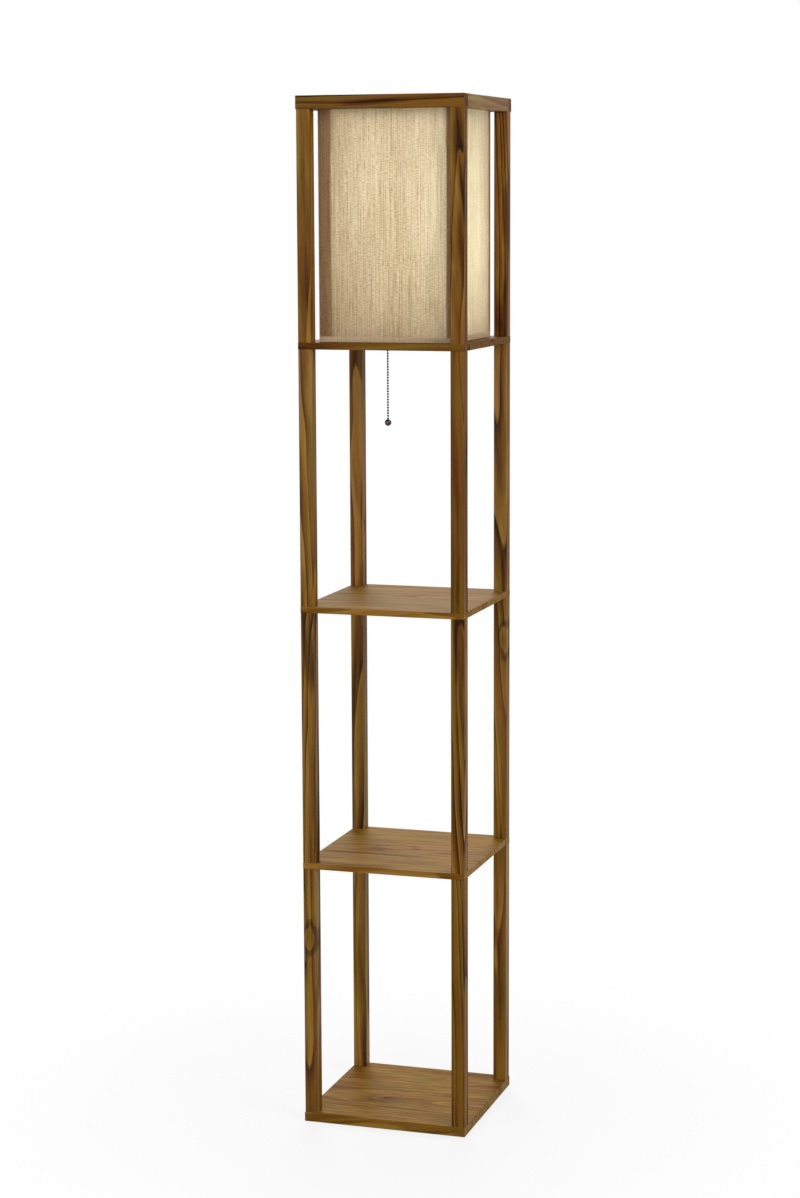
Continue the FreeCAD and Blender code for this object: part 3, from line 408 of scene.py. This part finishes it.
def makeLinen():
    material, tree, out = newMaterial("woven_linen_shade")
    point = addNode(tree, "ShaderNodeTexCoord").outputs["Object"]
    # the level direction is x on two sides and y on the others, so the two are summed
    parts = addNode(tree, "ShaderNodeSeparateXYZ", links={"Vector": point})
    around = addNode(tree, "ShaderNodeMath", {"operation": "ADD"},
                     {0: parts.outputs["X"], 1: parts.outputs["Y"]})
    cloth = addNode(tree, "ShaderNodeCombineXYZ", links={"X": around, "Y": parts.outputs["Z"]})

    # 1 is a thin pale place, 0 a dense dark one
    threads = {}
    thin = None
    for name in ("upright", "level", "slub", "levelSlub", "cloud"):
        wide, high, low, top, detail, share = linenLook[name]
        place = addNode(tree, "ShaderNodeMapping", {"Scale": (1 / (wide * mm), 1 / (high * mm), 1)},
                        {"Vector": cloth})
        noise = addNode(tree, "ShaderNodeTexNoise",
                        {"noise_dimensions": "2D", "Scale": 1.0, "Detail": detail, "Roughness": 0.6},
                        {"Vector": place})
        threads[name] = addNode(tree, "ShaderNodeValToRGB", {"stops": [(low, 0.0), (top, 1.0)]},
                                {"Fac": noise})
        before = {2: thin} if thin else {}
        thin = addNode(tree, "ShaderNodeMath",
                       {"operation": "MULTIPLY_ADD", 1: share, 2: linenLook["thinnest"]},
                       {0: threads[name], **before})
    own = addNode(tree, "ShaderNodeValToRGB",
                  {"stops": [(0.0, linenLook["threadDark"]), (1.0, linenLook["threadPale"])]}, {"Fac": thin})
    glow = addNode(tree, "ShaderNodeValToRGB",
                   {"stops": [(0.0, linenLook["glowDark"]), (1.0, linenLook["glowPale"])]}, {"Fac": thin})

    # the inner side is the white film
    normal = addNode(tree, "ShaderNodeNewGeometry").outputs["True Normal"]
    outward = addNode(tree, "ShaderNodeVectorMath", {"operation": "MULTIPLY", 1: (1, 1, 0)}, {0: point})
    facing = addNode(tree, "ShaderNodeVectorMath", {"operation": "DOT_PRODUCT"}, {0: outward, 1: normal})
    inner = addNode(tree, "ShaderNodeMath", {"operation": "LESS_THAN", 1: 0.0},
                    {0: facing.outputs["Value"]})
    # the cloth's own colour is paler in a band along the foot, whose upper edge fades within a millimetre
    hemTop = shade["foot"] + shade["hem"]
    hem = addNode(tree, "ShaderNodeMapRange",
                  {"From Min": hemTop * mm, "From Max": (hemTop + 1) * mm, "To Min": 1.0, "To Max": 0.0},
                  {"Value": parts.outputs["Z"]})
    # a colour mix takes its two colours at sockets 6 and 7, and gives the result at output 2
    lining = srgb(linenLook["lining"])
    own = addNode(tree, "ShaderNodeMix", {"data_type": "RGBA", 7: srgb(linenLook["hem"])}, {0: hem, 6: own})
    own = addNode(tree, "ShaderNodeMix", {"data_type": "RGBA", 7: lining}, {0: inner, 6: own.outputs[2]})
    glow = addNode(tree, "ShaderNodeMix", {"data_type": "RGBA", 7: lining}, {0: inner, 6: glow})

    relief = addNode(tree, "ShaderNodeMath", {"operation": "ADD"},
                     {0: threads["upright"], 1: threads["slub"]})
    relief = addNode(tree, "ShaderNodeMath", {"operation": "MULTIPLY_ADD", 1: linenLook["levelRelief"]},
                     {0: threads["level"], 2: relief})
    bump = addNode(tree, "ShaderNodeBump", {"Strength": 0.4, "Distance": linenLook["relief"] * mm},
                   {"Height": relief})
    front = addNode(tree, "ShaderNodeBsdfPrincipled",
                    {"Roughness": 0.92, "Sheen Weight": 0.1, "Sheen Roughness": 0.5,
                     "Specular IOR Level": 0.15},
                    {"Base Color": own.outputs[2], "Normal": bump})
    back = addNode(tree, "ShaderNodeBsdfTranslucent", links={"Color": glow.outputs[2]})
    cover = addNode(tree, "ShaderNodeMixShader", {0: linenLook["through"]}, {1: front, 2: back})
    tree.links.new(cover.outputs[0], out.inputs["Surface"])
    return material


def riseOf(edge):
    return abs(edge.verts[0].co.z - edge.verts[1].co.z)


def drawInwards(vertices, byMm):
    for vertex in vertices:
        vertex.co.x *= 1 - byMm / shade["outer"]
        vertex.co.y *= 1 - byMm / shade["outer"]


def makeShade():
    outer, corner = shade["outer"] * mm, shade["corner"] * mm
    foot, top = shade["foot"] * mm, shade["head"] * mm
    high = (shade["head"] - shade["foot"]) * mm
    bpy.ops.object.select_all(action="DESELECT")
    bpy.ops.mesh.primitive_cube_add(size=1, location=(0, 0, (shade["foot"] + shade["head"]) / 2 * mm))
    piece = bpy.context.object
    piece.name = "shade_cloth"
    piece.scale = (2 * outer, 2 * outer, high)
    applyPlace(piece)
    bpy.ops.object.mode_set(mode="EDIT")
    mesh = bmesh.from_edit_mesh(piece.data)
    for face in mesh.faces:
        face.select = abs(face.normal.z) > 0.9
    bmesh.update_edit_mesh(piece.data)
    bpy.ops.mesh.delete(type="FACE")
    # rounded upright corners, then a fine grid on each side
    bpy.ops.mesh.select_all(action="DESELECT")
    mesh = bmesh.from_edit_mesh(piece.data)
    for edge in mesh.edges:
        edge.select = riseOf(edge) > shade["longEdge"]
    bmesh.update_edit_mesh(piece.data)
    bpy.ops.mesh.bevel(offset=corner, segments=4, affect="EDGES")
    bpy.ops.mesh.select_all(action="DESELECT")
    mesh = bmesh.from_edit_mesh(piece.data)
    mesh.edges.ensure_lookup_table()
    upright = [edge for edge in mesh.edges if riseOf(edge) > shade["longEdge"]]
    bmesh.ops.subdivide_edges(mesh, edges=upright, cuts=shade["rows"], use_grid_fill=True)
    level = [edge for edge in mesh.edges
             if riseOf(edge) < 1e-6 and edge.calc_length() > shade["longEdge"]]
    bmesh.ops.subdivide_edges(mesh, edges=level, cuts=shade["columns"], use_grid_fill=True)
    bmesh.update_edit_mesh(piece.data)
    bpy.ops.object.mode_set(mode="OBJECT")
    # between the battens and the rails the cloth is drawn in a little, unevenly
    upPower, alongPower = shade["bowPowers"]
    alongTurn, upTurn, upTurnAgain = shade["rippleTurns"]
    for vertex in piece.data.vertices:
        x, y, z = vertex.co
        share = math.sin(math.pi * min(1, max(0, (z - foot) / high))) ** upPower
        for axis, along, across in ((0, y, x), (1, x, y)):
            if abs(abs(across) - outer) > corner * 0.5 or abs(along) > outer - corner:
                continue
            drawn = share * math.cos(math.pi * along / (2 * outer)) ** alongPower
            wave = math.sin(along * alongTurn + z * upTurn) * math.sin(z * upTurnAgain + axis)
            drawn *= 1 + shade["ripple"] * wave
            vertex.co[axis] -= math.copysign(shade["bow"] * mm * drawn, across)
    # the upper hem is folded in over the rail
    bpy.ops.object.mode_set(mode="EDIT")
    bpy.ops.mesh.select_all(action="DESELECT")
    mesh = bmesh.from_edit_mesh(piece.data)
    for edge in mesh.edges:
        edge.select = edge.is_boundary and min(v.co.z for v in edge.verts) > top - 1e-6
    bmesh.update_edit_mesh(piece.data)
    bpy.ops.mesh.extrude_edges_move(TRANSFORM_OT_translate={"value": (0, 0, shade["lipHigh"] * mm)})
    mesh = bmesh.from_edit_mesh(piece.data)
    drawInwards([v for v in mesh.verts if v.select], shade["lipIn"])
    bpy.ops.mesh.extrude_edges_move(TRANSFORM_OT_translate={"value": (0, 0, 0)})
    mesh = bmesh.from_edit_mesh(piece.data)
    drawInwards([v for v in mesh.verts if v.select], shade["foldIn"])
    bmesh.update_edit_mesh(piece.data)
    bpy.ops.mesh.select_all(action="SELECT")
    bpy.ops.mesh.normals_make_consistent(inside=False)
    bpy.ops.object.mode_set(mode="OBJECT")
    wall = piece.modifiers.new("cloth", "SOLIDIFY")
    wall.thickness = shade["thick"] * mm
    wall.offset = -1
    applyModifiers(piece)
    smoothByAngle(piece, 40)
    piece.data.materials.append(makeLinen())
    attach(piece, "root")
    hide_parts("shade_fabric")


makeShade()
print("shade covered")


# mm, and upright places measured from the floor
chain = {
    "bead": 3.2,
    "pitch": 4.2,
    "link": 0.9,             # the wire between two beads
    "linkWaist": 0.86,       # its middle, as a share of that
    "hole": 1.15,
    "lip": (0.12, 0.2),      # how far a bead's rolled edge turns in and down
    "ball": 10.5,
    "place": -30.0,          # x of the whole chain
    "swing": 1206.0,         # the bead at which the chain bends
    "swingGap": 0.3,         # between that bead and the runs above and below it
    "ballCentre": 1091.5,
    "wireInBall": 1.0,
    "beadInBall": 0.6,
    "clevisFoot": 1243.08,
    "collar": [(0, -0.9), (0.75, -0.9), (0.95, -0.05), (1.35, -0.35)],   # radius, height over the ball
    "collarAngle": 0.36,     # radians from the ball's top to the collar's edge
    "seam": (0.13, 0.07),    # depth, and half its width in radians
}


def makeNickel(name, dark, middle, worn):
    # Steel in dark antique nickel plate, tumbled or polished: darker and brighter in small random patches.
    material, tree, out = newMaterial(name)
    point = addNode(tree, "ShaderNodeTexCoord").outputs["Object"]
    cloud = addNode(tree, "ShaderNodeTexNoise", {"Scale": 1 / (1.1 * mm), "Detail": 3.0},
                    {"Vector": point})
    colour = addNode(tree, "ShaderNodeValToRGB", {"stops": [(0.35, dark), (0.6, middle), (0.75, worn)]},
                     {"Fac": cloud})
    rough = addNode(tree, "ShaderNodeMapRange",
                    {"From Min": 0.3, "From Max": 0.7, "To Min": 0.10, "To Max": 0.2}, {"Value": cloud})
    grit = addNode(tree, "ShaderNodeTexNoise", {"Scale": 1 / (0.24 * mm), "Detail": 2.0},
                   {"Vector": point})
    bump = addNode(tree, "ShaderNodeBump", {"Strength": 0.1, "Distance": 0.03 * mm}, {"Height": grit})
    shader = addNode(tree, "ShaderNodeBsdfPrincipled", {"Metallic": 1.0},
                     {"Base Color": colour, "Roughness": rough, "Normal": bump})
    tree.links.new(shader.outputs[0], out.inputs["Surface"])
    return material


def turnProfile(name, outline, height, steps):
    # a turned piece: the outline in the XZ plane is spun round the upright line through its place
    place = (chain["place"] * mm, 0, height * mm)
    bpy.ops.object.select_all(action="DESELECT")
    bpy.ops.mesh.primitive_plane_add(size=0.001, location=place)
    piece = bpy.context.object
    piece.name = name
    bpy.ops.object.mode_set(mode="EDIT")
    bpy.ops.mesh.delete(type="VERT")
    mesh = bmesh.from_edit_mesh(piece.data)
    verts = [mesh.verts.new((radius * mm, 0, high * mm)) for radius, high in outline]
    for a, b in zip(verts, verts[1:]):
        mesh.edges.new((a, b))
    bmesh.update_edit_mesh(piece.data)
    bpy.ops.mesh.select_all(action="SELECT")
    bpy.ops.mesh.spin(steps=steps, angle=2 * math.pi, center=place, axis=(0, 0, 1))
    bpy.ops.mesh.select_all(action="SELECT")
    bpy.ops.mesh.remove_doubles(threshold=0.004 * mm)
    bpy.ops.mesh.normals_make_consistent(inside=False)
    bpy.ops.object.mode_set(mode="OBJECT")
    applyPlace(piece)
    return piece


def beadOutline():
    # a rolled bead: round, with a small lip at each hole
    radius, hole = chain["bead"] / 2, chain["hole"] / 2
    lipIn, lipDown = chain["lip"]
    start = math.asin(hole / radius)
    end = radius * math.cos(start)
    outline = [(0, end - lipDown), (hole - lipIn, end - lipDown), (hole, end)]
    count = 7
    for step in range(1, count):
        angle = start + (math.pi - 2 * start) * step / count
        outline.append((radius * math.sin(angle), radius * math.cos(angle)))
    return outline + [(hole, -end), (hole - lipIn, lipDown - end), (0, lipDown - end)]


def linkOutline(long):
    # the wire through the beads, a little thinner in its middle
    wide = chain["link"] / 2
    waist = (wide * chain["linkWaist"], 0)
    return [(0, long / 2), (wide, long / 2), waist, (wide, -long / 2), (0, -long / 2)]


def ballOutline():
    # two pressed cups with a seam round the middle and a small collar on top
    ball = chain["ball"] / 2
    start = chain["collarAngle"]
    seamDeep, seamHalf = chain["seam"]
    outline = [(radius, ball + high) for radius, high in chain["collar"]]
    count = 14
    for step in range(1, count):
        angle = start + (math.pi - start) * step / count
        radius = ball - (seamDeep if abs(angle - math.pi / 2) < seamHalf else 0)
        outline.append((radius * math.sin(angle), radius * math.cos(angle)))
    return outline + [(0, -ball)]


def makeChainRun(name, top, foot, firstBead, lastBead, metal):
    # beads are one turned form, copied down the line with its own mesh, and joined to one run
    bead = turnProfile(name, beadOutline(), firstBead, 16)
    copies = [bead]
    count = round((firstBead - lastBead) / chain["pitch"])
    for step in range(1, count + 1):
        copy = bead.copy()
        copy.data = bead.data.copy()
        bpy.context.scene.collection.objects.link(copy)
        copy.location = (0, 0, (lastBead - firstBead) * step / count * mm)
        copies.append(copy)
    copies.append(turnProfile(name + "_wire", linkOutline(top - foot), (top + foot) / 2, 12))
    bpy.ops.object.select_all(action="DESELECT")
    for piece in copies:
        piece.select_set(True)
    bpy.context.view_layer.objects.active = bead
    bpy.ops.object.join()
    applyPlace(bead)
    smoothByAngle(bead, 50)
    bead.data.materials.append(metal)
    return bead


def makeChain():
    metal = makeNickel("tumbled_antique_nickel", "#16120F", "#2B2622", "#49423A")
    polished = makeNickel("polished_antique_nickel", "#3A342E", "#645B52", "#978D81")
    radius = chain["bead"] / 2
    upperFoot = chain["swing"] + radius + chain["swingGap"]
    upper = makeChainRun("pull_chain_upper", chain["clevisFoot"], upperFoot, chain["clevisFoot"] - radius,
                         upperFoot + radius, metal)
    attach(upper, "pull_chain")
    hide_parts("upper_chain")
    swivel = turnProfile("pull_chain_swivel", beadOutline(), chain["swing"], 16)
    smoothByAngle(swivel, 50)
    swivel.data.materials.append(metal)
    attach(swivel, "chain_swivel")
    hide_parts("swivel_bead")
    lowerTop = chain["swing"] - radius - chain["swingGap"]
    ballTop = chain["ballCentre"] + chain["ball"] / 2
    lower = makeChainRun("pull_chain_lower", lowerTop, ballTop - chain["wireInBall"], lowerTop - radius,
                         ballTop + radius - chain["beadInBall"], metal)
    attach(lower, "hanging_chain")
    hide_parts("lower_chain")
    pull = turnProfile("pull_ball", ballOutline(), chain["ballCentre"], 32)
    smoothByAngle(pull, 50)
    pull.data.materials.append(polished)
    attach(pull, "hanging_chain")
    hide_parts("chain_ball")
    for name in ("chain_clevis", "chain_guide", "floor_eyelet"):
        dress(name, metal)


makeChain()
print("chain hung")


def makePlain(name, dark, light, grit, rough, relief, settings, stretch=(1, 1, 1)):
    # a worked metal, a moulded plastic or a sanded wood: two tones, a range of roughness, and a
    # relief in mm, all from one noise whose size is grit, in mm
    material, tree, out = newMaterial(name)
    point = addNode(tree, "ShaderNodeTexCoord").outputs["Object"]
    place = addNode(tree, "ShaderNodeMapping", {"Scale": [1 / (grit * mm * part) for part in stretch]},
                    {"Vector": point})
    noise = addNode(tree, "ShaderNodeTexNoise", {"Scale": 1.0, "Detail": 4.0, "Distortion": 0.3},
                    {"Vector": place})
    colour = addNode(tree, "ShaderNodeValToRGB", {"stops": [(0.3, dark), (0.7, light)]}, {"Fac": noise})
    gloss = addNode(tree, "ShaderNodeMapRange",
                    {"From Min": 0.3, "From Max": 0.7, "To Min": rough[0], "To Max": rough[1]},
                    {"Value": noise})
    bump = addNode(tree, "ShaderNodeBump", {"Strength": 0.3, "Distance": relief * mm}, {"Height": noise})
    shader = addNode(tree, "ShaderNodeBsdfPrincipled", settings,
                     {"Base Color": colour, "Roughness": gloss, "Normal": bump})
    tree.links.new(shader.outputs[0], out.inputs["Surface"])
    return material


bulb = {
    # the bulb's light as the white lining spreads it: one upright panel for each side of the shade,
    # with the way it faces, its watts and its middle
    "panels": {
        "front": ((0, -1), 0.28, (0.034, 0, 1.330)),
        "right": ((1, 0), 0.40, (0.024, 0, 1.402)),
        "back": ((0, 1), 0.34, (0.024, 0, 1.368)),
        "left": ((-1, 0), 0.38, (0.024, 0, 1.368)),
    },
    "panelSize": (0.11, 0.32),
    "tint": (0.92, 1.0, 1.02),     # nearly white: the cloth itself warms it
    "glass": ("#FFEFD6", "#FFF7EA"),
    "glow": 1.6,
}


def makeOpal():
    # Opal glass, blown and coated inside: an even warm glow.
    material, tree, out = newMaterial("blown_opal_glass")
    point = addNode(tree, "ShaderNodeTexCoord").outputs["Object"]
    cloud = addNode(tree, "ShaderNodeTexNoise", {"Scale": 60.0, "Detail": 2.0}, {"Vector": point})
    warm, pale = bulb["glass"]
    colour = addNode(tree, "ShaderNodeValToRGB", {"stops": [(0.3, warm), (0.7, pale)]}, {"Fac": cloud})
    shader = addNode(tree, "ShaderNodeBsdfPrincipled",
                     {"Roughness": 0.18, "IOR": 1.52, "Emission Strength": bulb["glow"]},
                     {"Base Color": colour, "Emission Color": colour})
    # the panels' light isn't held back by the glass
    clear = addNode(tree, "ShaderNodeBsdfTransparent")
    path = addNode(tree, "ShaderNodeLightPath")
    cover = addNode(tree, "ShaderNodeMixShader",
                    links={0: path.outputs["Is Shadow Ray"], 1: shader, 2: clear})
    tree.links.new(cover.outputs[0], out.inputs["Surface"])
    return material


metal = {"Metallic": 1.0}
plastic = {"IOR": 1.5}
bareWood = {"IOR": 1.5, "Specular IOR Level": 0.2}
wool = {"Sheen Weight": 0.3, "Specular IOR Level": 0.1}

# what each small part is made of: two tones, grit in mm, roughness, relief in mm, and settings
finishes = {
    "zinc_plated_steel": ("#8C8D8C", "#B9BAB6", 1.2, (0.25, 0.4), 0.03, metal),     # pale, faintly cloudy
    "turned_brass": ("#A98343", "#CDAA63", 1.5, (0.22, 0.36), 0.03, metal),         # warm and fairly bright
    "rolled_spring_steel": ("#6C6D6F", "#8F9092", 0.8, (0.25, 0.35), 0.02, metal),  # darker grey, even
    "rolled_aluminium": ("#B5B6B7", "#D6D6D5", 1.0, (0.2, 0.34), 0.02, metal),      # the whitest metal here
    "moulded_phenolic": ("#171615", "#24221F", 0.3, (0.42, 0.56), 0.05, plastic),   # brown black, half matt
    "moulded_nylon": ("#D9D7CE", "#EAE8E0", 0.4, (0.5, 0.6), 0.04, plastic),        # milky, soft shine
    "pressed_wool_felt": ("#2B2420", "#51463D", 0.5, (0.94, 1.0), 0.2, wool),       # dark, fuzzy, no shine
    # rough and matt, with upright streaks
    "sawn_softwood_strip": ("#7E6140", "#5E452B", 3.0, (0.7, 0.85), 0.1, bareWood, (1, 1, 30)),
    # pale and plain, with faint streaks
    "turned_beech_dowel": ("#C9A377", "#A98259", 2.0, (0.6, 0.75), 0.08, bareWood, (1, 8, 1)),
}

# the parts that each finish is on
finishedParts = {
    "zinc_plated_steel": ["base_screws", "shelf_studs", "head_floor_studs", "top_frame_studs",
                          "shade_screws", "nipple_washers", "nipple_nut", "cord_nipple", "lid_screws"],
    "turned_brass": ["threaded_inserts", "screw_shell", "centre_contact", "terminal_screws"],
    "rolled_spring_steel": ["switch_lever", "switch_pins", "return_spring", "contact_leaf"],
    "rolled_aluminium": ["bulb_cap"],
    "moulded_phenolic": ["socket_base", "socket_lid", "socket_skirt"],
    "moulded_nylon": ["nipple_bushing", "ratchet_wheel"],
    "pressed_wool_felt": ["base_pads"],
    "sawn_softwood_strip": ["shade_battens", "shade_rails"],
    "turned_beech_dowel": ["top_rail_dowels"],
}


def dressHardware():
    for finish, names in finishedParts.items():
        material = makePlain(finish, *finishes[finish])
        for name in names:
            dress(name, material)
    dress("bulb_globe", makeOpal())
    # every CAD node that is seen, the wood too, is smooth where it is round
    for piece in nodes.values():
        if not piece.hide_render:
            smoothByAngle(piece, 32)


dressHardware()
print("hardware finished")


studio = {
    "floorHalf": 14,
    "floorPale": 0.6,
    "shadowShare": 0.17,     # how much of the floor's own shading the eye sees beside the lamp
    "fade": (0.15, 0.8),     # metres from the lamp over which that goes to plain white
    "sky": (0.95, 0.97, 1.0, 1),
    "skyStrength": 0.35,
    "shine": 0.4,            # how far mirrors see plain white instead of the room
    "aim": (0, 0, 0.85),     # where the softboxes point
    "softboxes": {
        "key_right": ((3.1, -1.8, 2.6), (1.6, 1.6), 95),      # place, size, watts
        "fill_front": ((-1.2, -3.4, 1.9), (2.2, 2.2), 50),
        "rim_back": ((-0.8, 2.9, 3.4), (2.0, 2.0), 150),
    },
}


def whiteForEye(tree, kind, shader, share):
    # the eye, and mirrors and glass, see white here; the light on the lamp isn't changed
    path = addNode(tree, "ShaderNodeLightPath")
    mirrored = addNode(tree, "ShaderNodeMath", {"operation": "MULTIPLY", 1: studio["shine"]},
                       {0: path.outputs["Is Glossy Ray"]})
    seen = addNode(tree, "ShaderNodeMath", {"operation": "MAXIMUM"},
                   {0: path.outputs["Is Camera Ray"], 1: mirrored})
    seen = addNode(tree, "ShaderNodeMath", {"operation": "MAXIMUM"},
                   {0: seen, 1: path.outputs["Is Transmission Ray"]})
    part = addNode(tree, "ShaderNodeMath", {"operation": "MULTIPLY", 1: 1.0}, {0: seen})
    if share:
        tree.links.new(share.outputs[0], part.inputs[1])
    white = addNode(tree, kind, {"Color": (1, 1, 1, 1), "Strength": 1.0})
    return addNode(tree, "ShaderNodeMixShader", links={0: part, 1: shader, 2: white})


def makeFloor():
    bpy.ops.object.select_all(action="DESELECT")
    bpy.ops.mesh.primitive_plane_add(size=2 * studio["floorHalf"], location=(0, 0, 0))
    floor = bpy.context.object
    floor.name = "floor"
    material, tree, out = newMaterial("floor_paint")
    point = addNode(tree, "ShaderNodeTexCoord").outputs["Object"]
    away = addNode(tree, "ShaderNodeVectorMath", {"operation": "LENGTH"}, {0: point})
    near, far = studio["fade"]
    share = addNode(tree, "ShaderNodeMapRange",
                    {"From Min": near, "From Max": far, "To Min": 1 - studio["shadowShare"], "To Max": 1.0},
                    {"Value": away.outputs["Value"]})
    pale = studio["floorPale"]
    diffuse = addNode(tree, "ShaderNodeBsdfDiffuse", {"Color": (pale, pale, pale, 1)})
    cover = whiteForEye(tree, "ShaderNodeEmission", diffuse, share)
    tree.links.new(cover.outputs[0], out.inputs["Surface"])
    floor.data.materials.append(material)


def makeWorld():
    world = bpy.data.worlds.new("studio")
    bpy.context.scene.world = world
    world.use_nodes = True
    tree = world.node_tree
    tree.nodes.clear()
    out = tree.nodes.new("ShaderNodeOutputWorld")
    light = addNode(tree, "ShaderNodeBackground",
                    {"Color": studio["sky"], "Strength": studio["skyStrength"]})
    cover = whiteForEye(tree, "ShaderNodeBackground", light, None)
    tree.links.new(cover.outputs[0], out.inputs["Surface"])


def addSoftbox(name, place, aim, size, power, colour=(1, 1, 1)):
    data = bpy.data.lights.new(name, "AREA")
    data.shape = "RECTANGLE"
    data.size, data.size_y = size
    data.energy = power
    data.color = colour
    lamp = bpy.data.objects.new(name, data)
    lamp.location = place
    lamp.rotation_euler = (Vector(aim) - Vector(place)).to_track_quat("-Z", "Y").to_euler()
    bpy.context.scene.collection.objects.link(lamp)
    return lamp


def makeLights():
    for name, (place, size, power) in studio["softboxes"].items():
        addSoftbox(name, place, studio["aim"], size, power)
    for side, ((x, y), power, place) in bulb["panels"].items():
        aim = (place[0] + x, place[1] + y, place[2])
        lamp = addSoftbox("bulb_" + side, place, aim, bulb["panelSize"], power, bulb["tint"])
        lamp.visible_camera = False
        lamp.visible_glossy = False


makeFloor()
makeWorld()
makeLights()
bpy.context.scene.view_settings.view_transform = "Standard"
print("studio lit")
